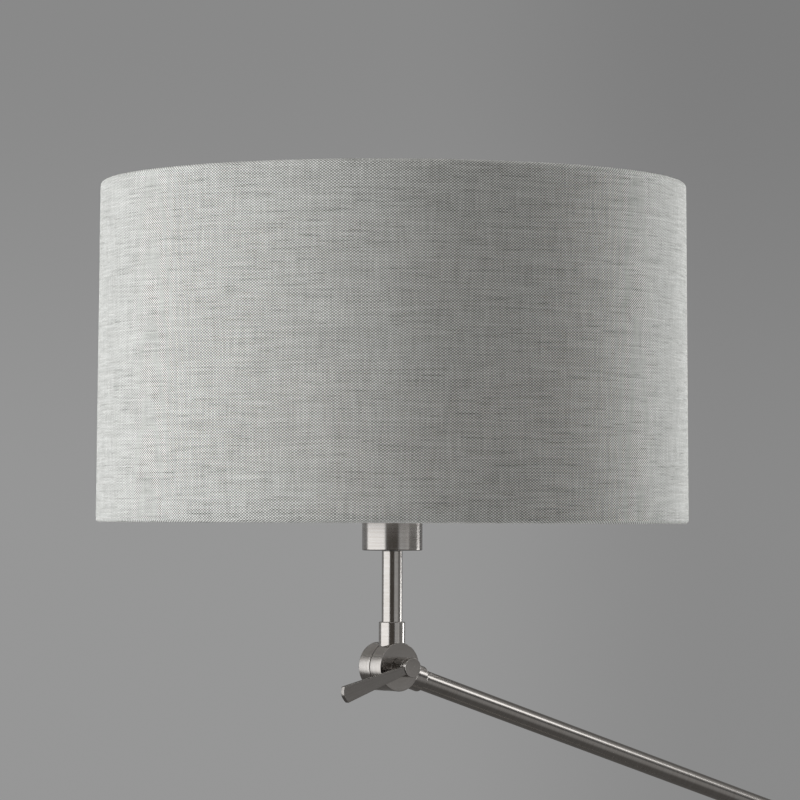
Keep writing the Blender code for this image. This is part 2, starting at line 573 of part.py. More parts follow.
head_axis = pivot("head_axis", Matrix.Translation((0, 0, ARM_LENGTH)) @
                  Matrix.Rotation(math.pi / 2 - ARM_SLOPE, 4, "Y"), arm)
elbow_half("head_elbow_half", head_axis, 0.0, 1, -1, False)
grub_screw("head_grub_screw", head_axis, 0.0, 0.0, 1)
head_lever_axis = pivot("head_lever_axis", Matrix.Identity(4), head_axis)
lever("head_lever", head_lever_axis, HEAD_LEVER_ANGLE)
elbow_hardware("pole", swivel, arm, (pole_elbow, 0.0))
elbow_hardware("head", head_axis, arm, (0.0, ARM_LENGTH))
make_stem(head_axis)
make_lampholder(head_axis)
make_shade(head_axis)

for obj in parts.objects:
    if obj.type == "MESH" and not obj.modifiers:
        obj.data.shade_smooth()
        obj.data.set_sharp_from_angle(angle=math.radians(35))
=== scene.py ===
"""A reading floor lamp: a weighted foot, a telescopic pole, an arm on two elbows, a drum shade."""

import json
import math

import bmesh
import bpy
from mathutils import Matrix, Vector


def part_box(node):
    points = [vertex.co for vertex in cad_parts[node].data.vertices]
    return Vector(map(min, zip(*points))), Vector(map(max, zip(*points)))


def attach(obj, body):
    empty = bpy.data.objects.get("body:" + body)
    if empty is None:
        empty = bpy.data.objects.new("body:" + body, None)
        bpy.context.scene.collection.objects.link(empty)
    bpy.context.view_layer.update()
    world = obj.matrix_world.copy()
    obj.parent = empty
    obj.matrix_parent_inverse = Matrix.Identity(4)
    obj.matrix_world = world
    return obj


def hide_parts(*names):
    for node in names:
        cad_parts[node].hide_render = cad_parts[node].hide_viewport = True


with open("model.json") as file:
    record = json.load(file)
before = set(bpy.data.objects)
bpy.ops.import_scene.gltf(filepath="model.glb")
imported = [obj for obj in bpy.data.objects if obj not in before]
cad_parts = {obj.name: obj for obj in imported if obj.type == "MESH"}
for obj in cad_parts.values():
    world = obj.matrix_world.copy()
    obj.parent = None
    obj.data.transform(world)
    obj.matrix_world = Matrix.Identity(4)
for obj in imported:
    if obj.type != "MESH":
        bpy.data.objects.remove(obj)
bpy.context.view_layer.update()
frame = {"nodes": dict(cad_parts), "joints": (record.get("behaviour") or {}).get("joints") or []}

# ---- Camera ------------------------------------------------------------------------------------
# A long lens 2.67 m from the shade, level with its lower rim and left of the lamp's front.
shade_low, shade_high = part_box("shade_fabric")
SHADE_MIDDLE = (shade_low + shade_high) / 2
CAMERA_SIDE = Vector((-0.606, -0.795, 0.0)).normalized()  # from the shade towards the camera
CAMERA_RIGHT = Vector((-CAMERA_SIDE.y, CAMERA_SIDE.x, 0.0))
CAMERA_DISTANCE = 2.667
camera_data = bpy.data.cameras.new("camera")
camera_data.lens = 177.3
camera_data.sensor_width = 36.0
camera = bpy.data.objects.new("camera", camera_data)
rim_middle = Vector((SHADE_MIDDLE.x, SHADE_MIDDLE.y, shade_low.z))
camera.location = rim_middle + CAMERA_DISTANCE * CAMERA_SIDE
facing = (-CAMERA_SIDE).to_track_quat("-Z", "Y").to_matrix().to_4x4()
aim = Matrix.Rotation(math.radians(-0.106), 4, "Y") @ Matrix.Rotation(math.radians(1.79), 4, "X")
roll = Matrix.Rotation(math.radians(0.2), 4, "Z")
camera.matrix_world = Matrix.Translation(camera.location) @ facing @ aim @ roll
bpy.context.scene.collection.objects.link(camera)
bpy.context.scene.camera = camera
bpy.context.scene.view_settings.view_transform = "Standard"


# ---- Studio ------------------------------------------------------------------------------------
# A grey room, lighter low on the left. The polished metal mirrors a tall softbox on the left, a dim
# panel and two strips on the right and a dark screen behind the camera. Narrower panels that the
# metal doesn't mirror light the cloth at a low angle from both sides.
class Signal:
    """A socket in a shader tree, on which Python's operators add Math nodes."""

    def __init__(self, tree, socket=None):
        self.tree = tree
        self.socket = socket

    def node(self, kind, settings=None, sockets=None, output=0):
        """Adds a node: its settings first, then the values or links of its sockets."""
        made = self.tree.nodes.new("ShaderNode" + kind)
        for key, value in (settings or {}).items():
            setattr(made, key, value)
        for key, value in (sockets or {}).items():
            if isinstance(value, Signal):
                self.tree.links.new(value.socket, made.inputs[key])
            else:
                made.inputs[key].default_value = value
        return Signal(self.tree, made.outputs[output] if made.outputs else None)

    def math(self, operation, *others):
        return self.node("Math", {"operation": operation}, dict(enumerate((self, *others))))

    def mix(self, low, high):
        """Colour low where this signal is 0 and colour high where it is 1."""
        return self.node("Mix", {"data_type": "RGBA"}, {0: self, 6: low, 7: high}, 2)

    def step(self, start, end):
        """0 below start, 1 above end, and a smooth rise between them."""
        rise = {"interpolation_type": "SMOOTHSTEP"}
        return self.node("MapRange", rise, {"Value": self, "From Min": start, "From Max": end})

    def __add__(self, other):
        return self.math("ADD", other)

    __radd__ = __add__

    def __sub__(self, other):
        return self.math("SUBTRACT", other)

    def __rsub__(self, other):
        return self.math("MULTIPLY_ADD", -1.0, other)

    def __mul__(self, other):
        return self.math("MULTIPLY", other)

    __rmul__ = __mul__

    def __truediv__(self, other):
        return self.math("DIVIDE", other)


def grey(level, warmth=0.0):
    """A grey, a little redder and less blue where it is warm."""
    return (level * (1 + warmth), level, level * (1 - warmth), 1.0)


def scaled(vector, factor):
    """A vector or colour times another."""
    return vector.node("VectorMath", {"operation": "MULTIPLY"}, {0: vector, 1: factor})


def dot(vector, other):
    return vector.node("VectorMath", {"operation": "DOT_PRODUCT"}, {0: vector, 1: other}, 1)


world = bpy.data.worlds.new("studio")
bpy.context.scene.world = world
world.use_nodes = True
world.node_tree.nodes.clear()
room = Signal(world.node_tree)
direction = room.node("TexCoord")
right = dot(direction, CAMERA_RIGHT)
height = dot(direction, (0.0, 0.0, 1.0))
mirrored_ray = room.node("LightPath", None, None, "Is Glossy Ray")

# The wall is lighter low down and darker to the right.
wall = height.step(-0.005, 0.130).mix(grey(0.308), grey(0.250))
wall = scaled(wall, right.step(0.0, 0.085).mix(grey(1.0), grey(0.82)))
wall = scaled(wall, right.step(0.35, 0.90).mix(grey(1.0), grey(0.52)))

# The ceiling is pale, but what the metal mirrors of it behind the lamp is dark.
pale_ceiling = grey(0.50, 0.02)
behind = dot(direction, -CAMERA_SIDE).step(0.25, 0.65)
mirrored_ceiling = behind.mix(pale_ceiling, grey(0.17, 0.03))
ceiling = height.step(0.14, 0.34).mix(wall, mirrored_ray.mix(pale_ceiling, mirrored_ceiling))

# The ground past the floor's edge is dark beyond the lamp on the left. The metal mirrors a dark
# ground everywhere but on the far right, where it starts higher up.
near_or_right = dot(direction, CAMERA_SIDE) + right
open_ground = near_or_right.step(-1.1, -0.5).mix(grey(0.09, 0.04), grey(0.33))
mirrored_ground = right.step(0.72, 0.92).mix(grey(0.13, 0.04), grey(0.34, 0.02))
ground = mirrored_ray.mix(open_ground, mirrored_ground)
depth = right.step(0.35, 0.90) * 0.26 - height
surroundings = depth.step(0.20, 0.30).mix(ceiling, ground)
room.node("OutputWorld", None, {"Surface": room.node("Background", None, {"Color": surroundings})})

STAGE_CENTRE = Vector((SHADE_MIDDLE.x, 0.0, 0.0))


def direction_at(angle):
    """The level direction at an angle in degrees, clockwise from the camera's."""
    return (math.cos(math.radians(angle)) * CAMERA_SIDE
            + math.sin(math.radians(angle)) * CAMERA_RIGHT)


def facing_lamp(angle, distance, centre_height):
    """A place at that angle, distance and height that faces the lamp's head."""
    spot = STAGE_CENTRE + distance * direction_at(angle)
    spot.z = centre_height
    turn = direction_at(angle).to_track_quat("Z", "Y").to_matrix().to_4x4()
    return Matrix.Translation(spot) @ turn


def glow(name, place, width, tall, level, mirrored, warmth=0.0):
    """A rectangle out of view that shines along -Z: the metal mirrors it, or it lights the rest."""
    lamp = bpy.data.lights.new(name, "AREA")
    lamp.shape = "RECTANGLE"
    lamp.size, lamp.size_y = width, tall
    lamp.energy = level * math.pi * width * tall
    lamp.color = grey(1.0, warmth)[:3]
    obj = bpy.data.objects.new(name, lamp)
    obj.matrix_world = place
    obj.visible_camera = False
    obj.visible_diffuse = not mirrored
    obj.visible_glossy = mirrored
    bpy.context.scene.collection.objects.link(obj)


# Name, middle and half width in degrees from the camera's side, distance, lower and upper edge in
# metres, brightness, and whether the metal mirrors it.
for name, angle, spread, distance, low, high, level, mirrored in (
        ("left_softbox", -67.5, 40.5, 2.4, 0.05, 3.60, 1.60, True),
        ("left_key", -75.0, 10.0, 2.6, 0.80, 2.60, 12.0, False),
        ("right_panel", 47.0, 20.0, 2.8, 0.30, 3.00, 0.42, True),
        ("right_fill", 47.0, 20.0, 2.8, 0.30, 3.00, 1.00, False),
        ("right_strip", 119.0, 9.0, 2.2, 0.70, 1.30, 4.80, True),
        ("right_high", 95.0, 9.0, 2.2, 1.95, 2.55, 1.90, True),
        ("rear_panel", 120.0, 9.0, 2.6, 0.80, 2.60, 15.2, False)):
    width = 2 * distance * math.tan(math.radians(spread))
    place = facing_lamp(angle, distance, (low + high) / 2)
    glow(name, place, width, high - low, level, mirrored)

# A square just above the floor faces up: the light that the floor throws back at the shade.
low_middle = STAGE_CENTRE + Vector((0.0, 0.0, 0.15))
facing_up = Matrix.Translation(low_middle) @ Matrix.Rotation(math.pi, 4, "X")
glow("floor_bounce", facing_up, 0.8, 0.8, 2.0, False, 0.02)

screen = bmesh.new()
bmesh.ops.create_grid(screen, x_segments=1, y_segments=1, size=1.0)
bmesh.ops.scale(screen, verts=screen.verts, vec=(1.32, 1.9, 1.0))
bmesh.ops.transform(screen, verts=screen.verts, matrix=facing_lamp(0.0, 3.3, 1.9))
screen_mesh = bpy.data.meshes.new("dark_screen")
screen.to_mesh(screen_mesh)
screen.free()
dark_screen = bpy.data.objects.new("dark_screen", screen_mesh)
bpy.context.scene.collection.objects.link(dark_screen)
dark_screen.visible_camera = False


def new_finish(name):
    """A new material and the start of its empty shader tree."""
    made = bpy.data.materials.new(name)
    made.use_nodes = True
    made.node_tree.nodes.clear()
    return made, Signal(made.node_tree)


def close_finish(start, sockets):
    """Ends a shader tree in a Principled surface with these values and links."""
    shader = start.node("BsdfPrincipled", None, sockets)
    start.node("OutputMaterial", None, {"Surface": shader})


def noise(vector, scale, detail=2.0, roughness=0.5):
    return vector.node("TexNoise", None, {
        "Vector": vector, "Scale": scale, "Detail": detail, "Roughness": roughness})


def bump(height, distance, strength=1.0):
    return height.node("Bump", None, {"Height": height, "Distance": distance, "Strength": strength})


black_cloth, start = new_finish("black_cloth")
close_finish(start, {"Base Color": grey(0.13, 0.1), "Roughness": 1.0, "Specular IOR Level": 0.0})
screen_mesh.materials.append(black_cloth)

# ---- Floor -------------------------------------------------------------------------------------
# A pale painted floor round the lamp. It fades out before its edge, so that no line shows where it
# meets the room, and the metal doesn't mirror it.
FLOOR_RADIUS = 6.0
floor = bmesh.new()
bmesh.ops.create_circle(floor, cap_ends=True, segments=96, radius=FLOOR_RADIUS)
floor_mesh = bpy.data.meshes.new("floor")
floor.to_mesh(floor_mesh)
floor.free()
floor_piece = bpy.data.objects.new("floor", floor_mesh)
bpy.context.scene.collection.objects.link(floor_piece)
floor_piece.visible_glossy = False
paint, start = new_finish("floor_paint")
place = start.node("TexCoord", None, None, 3)
away = place.node("VectorMath", {"operation": "LENGTH"}, {0: place}, 1)
mottle = noise(place, 3.0, 4.0)
surface = start.node("BsdfPrincipled", None, {
    "Base Color": mottle.mix(grey(0.27), grey(0.31)), "Roughness": 0.75,
    "Normal": bump(noise(place, 180.0), 0.0004, 0.4)})
clear = start.node("BsdfTransparent")
fade = away.step(0.45 * FLOOR_RADIUS, 0.98 * FLOOR_RADIUS)
start.node("OutputMaterial", None, {
    "Surface": start.node("MixShader", None, {0: fade, 1: surface, 2: clear})})
floor_mesh.materials.append(paint)

# ---- Foot pad ----------------------------------------------------------------------------------
# A dark foam disc glued under the iron weight, so that the foot doesn't mark the floor. Its cut
# edge is a little rounded.
UP = Vector((0.0, 0.0, 1.0))


def lying(origin, along, out=UP):
    """A place whose own Z points out and whose own X points along."""
    z = Vector(out).normalized()
    x = Vector(along).normalized()
    turn = Matrix((x, z.cross(x), z)).transposed().to_4x4()
    return Matrix.Translation(origin) @ turn


def upright(origin):
    return lying(origin, (1.0, 0.0, 0.0))


def turned(profile, steps):
    """Corners (radius, height) spun round Z: solid if they start on the axis, or else a ring."""
    work = bmesh.new()
    corners = [work.verts.new((r, 0.0, z)) for r, z in profile]
    lines = [work.edges.new(pair) for pair in zip(corners, corners[1:])]
    if profile[0][0] > 0:
        lines.append(work.edges.new((corners[-1], corners[0])))
    bmesh.ops.spin(work, geom=corners + lines, cent=(0, 0, 0), axis=(0, 0, 1), angle=2 * math.pi,
                   steps=steps, use_merge=True)
    bmesh.ops.remove_doubles(work, verts=work.verts, dist=1e-6)
    bmesh.ops.recalc_face_normals(work, faces=work.faces)
    return work


def soften(work, width, least=40.0, segments=3):
    """Rounds the edges that turn by more than least degrees."""
    sharp = [e for e in work.edges if e.is_manifold and e.calc_face_angle() > math.radians(least)]
    bmesh.ops.bevel(work, geom=sharp, offset=width, offset_type="OFFSET", segments=segments,
                    profile=0.5, affect="EDGES", material=-1, clamp_overlap=True)
    return work


def piece(name, work, place, finish, body, slot, *nodes, flat_faces=True):
    """Makes a bmesh a piece in its place: smooth, riding on a body, instead of these CAD nodes."""
    bmesh.ops.transform(work, verts=work.verts, matrix=place)
    mesh = bpy.data.meshes.new(name)
    work.to_mesh(mesh)
    work.free()
    for surface in finish if isinstance(finish, tuple) else (finish,):
        mesh.materials.append(surface)
    mesh.shade_smooth()
    mesh.set_sharp_from_angle(angle=math.radians(40))
    obj = bpy.data.objects.new(name, mesh)
    bpy.context.scene.collection.objects.link(obj)
    if flat_faces:
        even = obj.modifiers.new("even_shading", "WEIGHTED_NORMAL")
        even.keep_sharp = True
    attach(obj, body)
    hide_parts(*nodes)
    return obj


def spot_of(node):
    """The middle of a CAD node's box."""
    low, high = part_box(node)
    return (low + high) / 2


def dyed(name, colour, other, scale, rough, bumpy=0.0002, fine=900.0, **fixed):
    """A plain finish whose colour, gloss and skin vary a little over the piece."""
    made, start = new_finish(name)
    place = start.node("TexCoord", None, None, 3)
    cloud = noise(place, scale, 4.0)
    grain = noise(place, fine, 3.0)
    mask = (cloud * 0.7 + grain * 0.3).step(0.35, 0.65)
    sockets = {"Base Color": mask.mix(colour, other),
               "Roughness": mask * (rough[1] - rough[0]) + rough[0],
               "Normal": bump(grain, bumpy, 0.5)}
    sockets.update({key.replace("_", " "): value for key, value in fixed.items()})
    close_finish(start, sockets)
    return made


foam = dyed("foam_pad", grey(0.022), grey(0.05), 120.0, (0.85, 0.98), 0.0005, 1600.0)
PAD_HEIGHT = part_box("base_pad")[1].z
PAD_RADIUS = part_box("base_pad")[1].x
pad = turned([(0, PAD_HEIGHT), (PAD_RADIUS, PAD_HEIGHT), (PAD_RADIUS, 0), (0, 0)], 128)
soften(pad, 0.0006)
piece("foot_pad", pad, upright((0, 0, 0)), foam, "foot", "foam_pad", "base_pad")


# ---- Iron weight and its fixings ---------------------------------------------------------------
# A grey iron casting, clamped under the cover by a nut on a threaded steel nipple. They keep the
# shapes they have, since the cover and the pad hide them.
def keep(node, finish):
    """A CAD node that keeps its shape and gets this finish."""
    obj = frame["nodes"][node]
    obj.data.materials.clear()
    obj.data.materials.append(finish)


iron = dyed("cast_iron", grey(0.06, 0.03), grey(0.14, 0.05), 60.0, (0.55, 0.85), 0.0006, 700.0,
            Metallic=0.7)
zinc = dyed("zinc_plate", grey(0.42, 0.01), grey(0.58, -0.01), 90.0, (0.28, 0.48), 0.0001, 2500.0,
            Metallic=1.0)
keep("base_weight", iron)
for node in ("base_nipple", "base_nut", "base_washer", "pole_foot_plug"):
    keep(node, zinc)


# ---- Nickel finish -----------------------------------------------------------------------------
# Satin nickel plate over steel tube and turned brass. Fine brushing lines run round the axis that
# each piece was polished on, and the wear is a faint cloudiness.
def nickel(name, centre, axis, straight=False, tone=1.0, gloss=(0.14, 0.19), lines_per_metre=900.0):
    """Nickel brushed round an axis through centre, or straight along that axis."""
    made, start = new_finish(name)
    centre, axis = Vector(centre), Vector(axis).normalized()
    place = start.node("TexCoord", None, None, 3)
    arm = place.node("VectorMath", {"operation": "SUBTRACT"}, {0: place, 1: centre})
    along = dot(arm, axis)
    first = axis.orthogonal().normalized()
    across, beyond = dot(arm, first), dot(arm, axis.cross(first))
    if straight:
        lines = start.node("CombineXYZ", None, {
            "X": along * 30.0, "Y": across * lines_per_metre, "Z": beyond * lines_per_metre})
    else:
        radius = (across * across + beyond * beyond).math("SQRT")
        turn = across.math("ARCTAN2", beyond)
        lines = start.node("CombineXYZ", None, {
            "X": along * lines_per_metre, "Y": radius * lines_per_metre, "Z": turn * 0.6})
    grain = noise(lines, 1.0, 3.0, 0.6)
    cloud = noise(place, 70.0, 3.0)
    wear = noise(place, 9.0, 2.0).step(0.40, 0.70)
    light = grain * 0.75 + cloud * 0.25
    rough = light * (gloss[1] - gloss[0]) + wear * 0.03 + gloss[0]
    # A tone below 1 darkens the colour only: painted shade on a piece of the same nickel.
    base = light.step(0.25, 0.75).mix(grey(0.35 * tone, 0.055), grey(0.42 * tone, 0.035))
    close_finish(start, {"Base Color": base, "Metallic": 1.0, "Roughness": rough})
    return made


pole_nickel = nickel("nickel_pole", (0, 0, 0), UP)

# ---- Foot cover --------------------------------------------------------------------------------
# A spun steel dish, 1 mm thick with a rolled shoulder, that drops over the weight. A hole in its
# rear wall takes the cord gland.
COVER_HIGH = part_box("base_cover")[1].z
COVER_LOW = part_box("base_cover")[0].z
COVER_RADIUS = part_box("base_cover")[1].x
COVER_WALL = 0.0010
SHOULDER = 0.006
NIPPLE_HOLE = 0.0052


def shoulder(radius, top, curve, steps=8):
    """A quarter round from the flat top down to the wall."""
    turns = [math.radians(90 * i / steps) for i in range(steps + 1)]
    return [(radius - curve + curve * math.sin(a), top - curve + curve * math.cos(a))
            for a in turns]


def combined(work, other, operation):
    """Joins one bmesh with another, or cuts it by the other."""
    made = []
    for shape in (work, other):
        mesh = bpy.data.meshes.new("shape")
        shape.to_mesh(mesh)
        shape.free()
        obj = bpy.data.objects.new("shape", mesh)
        bpy.context.scene.collection.objects.link(obj)
        made.append(obj)
    change = made[0].modifiers.new("change", "BOOLEAN")
    change.object = made[1]
    change.operation = operation
    change.solver = "EXACT"
    bpy.context.view_layer.update()
    result = bmesh.new()
    result.from_mesh(made[0].evaluated_get(bpy.context.evaluated_depsgraph_get()).data)
    for obj in made:
        bpy.data.meshes.remove(obj.data)
    return result


def cylinder(radius, low, high, place, steps=64):
    """A cutter or a bar along its place's Z."""
    work = turned([(0, high), (radius, high), (radius, low), (0, low)], steps)
    bmesh.ops.transform(work, verts=work.verts, matrix=place)
    return work


outer = shoulder(COVER_RADIUS, COVER_HIGH, SHOULDER)
inner = shoulder(COVER_RADIUS - COVER_WALL, COVER_HIGH - COVER_WALL, SHOULDER - COVER_WALL)
cover = turned([(NIPPLE_HOLE, COVER_HIGH)] + outer + [(COVER_RADIUS, COVER_LOW)]
               + [(COVER_RADIUS - COVER_WALL, COVER_LOW)] + inner[::-1]
               + [(NIPPLE_HOLE, COVER_HIGH - COVER_WALL)], 192)
soften(cover, 0.0003, segments=2)
gland_middle = spot_of("cord_gland")
rear_face = lying((0, 0, gland_middle.z), (0, 1, 0), (1, 0, 0))
gland_hole = cylinder(0.0048, 0.140, 0.160, rear_face)
cover = combined(cover, gland_hole, "DIFFERENCE")
foot_nickel = nickel("nickel_foot", (0, 0, 0), UP, gloss=(0.24, 0.32))
piece("foot_cover", cover, upright((0, 0, 0)), foot_nickel, "foot", "brushed_nickel", "base_cover")

# ---- Cord gland --------------------------------------------------------------------------------
# A black rubber grommet snapped into the hole in the cover's rear wall. Its plain hole is where a
# cord would leave.
rubber = dyed("rubber", grey(0.018), grey(0.035), 200.0, (0.55, 0.75), 0.0002, 1800.0)
GLAND_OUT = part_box("cord_gland")[1].x
GLAND_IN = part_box("cord_gland")[0].x
LIP_START = COVER_RADIUS + 0.0003
LIP_RADIUS = 0.0060
WAIST_RADIUS = 0.0044
CORD_HOLE = 0.0030
gland = turned([(LIP_RADIUS, GLAND_OUT), (LIP_RADIUS, LIP_START), (WAIST_RADIUS, LIP_START),
                (WAIST_RADIUS, GLAND_IN), (CORD_HOLE, GLAND_IN), (CORD_HOLE, GLAND_OUT)], 48)
soften(gland, 0.0005)
piece("rubber_gland", gland, rear_face, rubber, "foot", "rubber", "cord_gland")

# ---- Pole collar at the foot -------------------------------------------------------------------
# A turned nickel collar over the joint of the pole and the foot. Its side sweeps in a hollow curve
# from a wide base to a narrow neck.
collar_low, collar_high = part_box("pole_foot_collar")
POLE_BORE = 0.0097
COLLAR_NECK = 0.0118
COLLAR_BASE = 0.0165
COLLAR_FOOT = 0.0020
SWEEP_HEIGHT = 0.0095
sweep = [(COLLAR_NECK + 0.0047 * (1 - math.sin(math.radians(10 * i))),
          collar_low.z + COLLAR_FOOT + SWEEP_HEIGHT * (1 - math.cos(math.radians(10 * i))))
         for i in range(10)]
foot_collar = turned([(COLLAR_NECK, collar_high.z)] + sweep[::-1] + [(COLLAR_BASE, collar_low.z),
                     (POLE_BORE, collar_low.z), (POLE_BORE, collar_high.z)], 96)
soften(foot_collar, 0.0004)
piece("foot_collar", foot_collar, upright((0, 0, 0)), pole_nickel, "foot", "brushed_nickel",
      "pole_foot_collar")


# ---- Lower pole --------------------------------------------------------------------------------
# A 19 mm steel tube that stands in the foot. The thinner pole slides in it between two nylon
# bushes.
def tube(outside, inside, low, high, edge=0.0003, steps=72):
    """A tube along Z with its edges rounded."""
    wall = turned([(outside, high), (outside, low), (inside, low), (inside, high)], steps)
    return soften(wall, edge)


LOWER_BORE = 0.0080
lower_low, lower_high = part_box("lower_pole")
LOWER_RADIUS = lower_high.x
piece("outer_pole", tube(LOWER_RADIUS, LOWER_BORE, lower_low.z, lower_high.z), upright((0, 0, 0)),
      pole_nickel, "foot", "brushed_nickel", "lower_pole")

# ---- Height clamp ------------------------------------------------------------------------------
# A nickel collar at the top of the lower pole, with a nylon bush inside it and a knurled knob
# whose screw presses on the upper pole.
clamp_low, clamp_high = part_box("clamp_collar")
CLAMP_RADIUS = clamp_high.y
CLAMP_LIP = 0.0075
lip_under = clamp_high.z - 0.0040
clamp = turned([(CLAMP_RADIUS, clamp_high.z), (CLAMP_RADIUS, clamp_low.z),
                (POLE_BORE, clamp_low.z), (POLE_BORE, lip_under), (CLAMP_LIP, lip_under),
                (CLAMP_LIP, clamp_high.z)], 96)
soften(clamp, 0.0009)
KNOB_HEIGHT = spot_of("clamp_knob").z
knob_place = lying((0, 0, KNOB_HEIGHT), (0, 1, 0), (1, 0, 0))
screw_hole = cylinder(0.0028, 0.0, 0.020, knob_place, 32)
clamp = combined(clamp, screw_hole, "DIFFERENCE")
piece("height_clamp", clamp, upright((0, 0, 0)), pole_nickel, "foot", "brushed_nickel",
      "clamp_collar")
nylon = dyed("nylon", grey(0.62, 0.03), grey(0.70, 0.03), 80.0, (0.35, 0.55), 0.0001, 1200.0)
keep("collar_bush", nylon)

knob_nickel = nickel("nickel_knob", (0, 0, KNOB_HEIGHT), (1, 0, 0))
knob_low, knob_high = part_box("clamp_knob")
GRIP_RADIUS = knob_high.y
GRIP_START = knob_low.x + 0.0035
RIDGES = 40
grip = bmesh.new()
rim = bmesh.ops.create_circle(grip, cap_ends=True, segments=2 * RIDGES, radius=GRIP_RADIUS)["verts"]
bmesh.ops.scale(grip, verts=rim[::2], vec=(0.945, 0.945, 1.0))
raised = bmesh.ops.extrude_face_region(grip, geom=grip.faces[:])["geom"]
top = [v for v in raised if isinstance(v, bmesh.types.BMVert)]
bmesh.ops.translate(grip, verts=top, vec=(0, 0, knob_high.x - GRIP_START))
bmesh.ops.translate(grip, verts=grip.verts, vec=(0, 0, GRIP_START))
bmesh.ops.recalc_face_normals(grip, faces=grip.faces)
soften(grip, 0.0004, 60.0, 2)
SHANK_RADIUS = 0.0055
shank_end = GRIP_START + 0.001
shank = turned([(0, shank_end), (SHANK_RADIUS, shank_end), (SHANK_RADIUS, knob_low.x),
                (0, knob_low.x)], 64)
grip = combined(grip, soften(shank, 0.0003, segments=2), "UNION")
DISH_RADIUS = 0.0066
dish = turned([(0, 0.0), (0.0062, 0.0), (DISH_RADIUS, 0.0008), (DISH_RADIUS, 0.004),
               (0, 0.004)], 64)
bmesh.ops.translate(dish, verts=dish.verts, vec=(0, 0, knob_high.x - 0.0006))
grip = combined(grip, dish, "DIFFERENCE")
screw_bore = cylinder(0.0027, knob_low.x - 0.001, knob_high.x + 0.001, Matrix.Identity(4), 32)
grip = combined(grip, screw_bore, "DIFFERENCE")
piece("clamp_grip", grip, knob_place, knob_nickel, "clamp", "brushed_nickel", "clamp_knob")
keep("clamp_screw", zinc)
keep("guide_bush", nylon)

# ---- Upper pole --------------------------------------------------------------------------------
# A 14 mm steel tube that slides and turns in the lower pole and carries the pole elbow.
TUBE_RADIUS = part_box("upper_pole")[1].x
TUBE_WALL = 0.0012
TUBE_BORE = TUBE_RADIUS - TUBE_WALL
upper_low, upper_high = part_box("upper_pole")
piece("inner_pole", tube(TUBE_RADIUS, TUBE_BORE, upper_low.z, upper_high.z), upright((0, 0, 0)),
      pole_nickel, "mast", "brushed_nickel", "upper_pole")

# ---- Leads -------------------------------------------------------------------------------------
# Black sleeved leads run inside the foot, the pole, the arm and the stem, and end at the elbows.
# The tubes hide all but their ends, so they keep the shapes they have.
sleeve = dyed("lead_sleeve", grey(0.02), grey(0.045), 300.0, (0.45, 0.60), 0.0001, 1500.0)
for node in ("base_lead", "pole_lead", "arm_lead", "stem_lead"):
    keep(node, sleeve)

# ---- Elbow halves ------------------------------------------------------------------------------
# Each elbow is two turned discs on one pin. A neck on each disc takes a tube, held by a grub
# screw from the rear, and is hollowed where it passes over the other disc's rim.
JOINTS = {joint["name"]: joint for joint in frame["joints"]}
POLE_PIN = Vector(JOINTS["arm_tilt"]["pos_m"])
HEAD_PIN = Vector(JOINTS["head_tilt"]["pos_m"])
ARM = (HEAD_PIN - POLE_PIN).normalized()
FRONT = Vector((0.0, -1.0, 0.0))
HALF_OFFSET = spot_of("arm_tube").y  # between the planes of the two halves' necks
DISC_RADIUS = 0.0165
DISC_OUTER = 0.0090
DISC_INNER = -0.0029
NECK_RADIUS = 0.00895
NECK_LENGTH = 0.0304
NECK_ROOT = 0.0135
SEAT_START = 0.0183
PIN_BORE = 0.0032
SEAT_BORE = TUBE_RADIUS + 0.0002
RECESS_RADIUS = 0.0125
RECESS_END = 0.0065
HUB_RADIUS = 0.0070
HUB_FACE = DISC_INNER + 0.0005
BOLT_SEAT = 0.0040
BOLT_HEAD_RADIUS = 0.0056


def brush_two_ways(work, pin, radius):
    """Gives the faces within a radius of a pin a piece's first finish, and the others its second."""
    for face in work.faces:
        away = face.calc_center_median() - pin
        near = Vector((away.x, 0.0, away.z)).length < radius + 0.0002
        face.material_index = 0 if near else 1


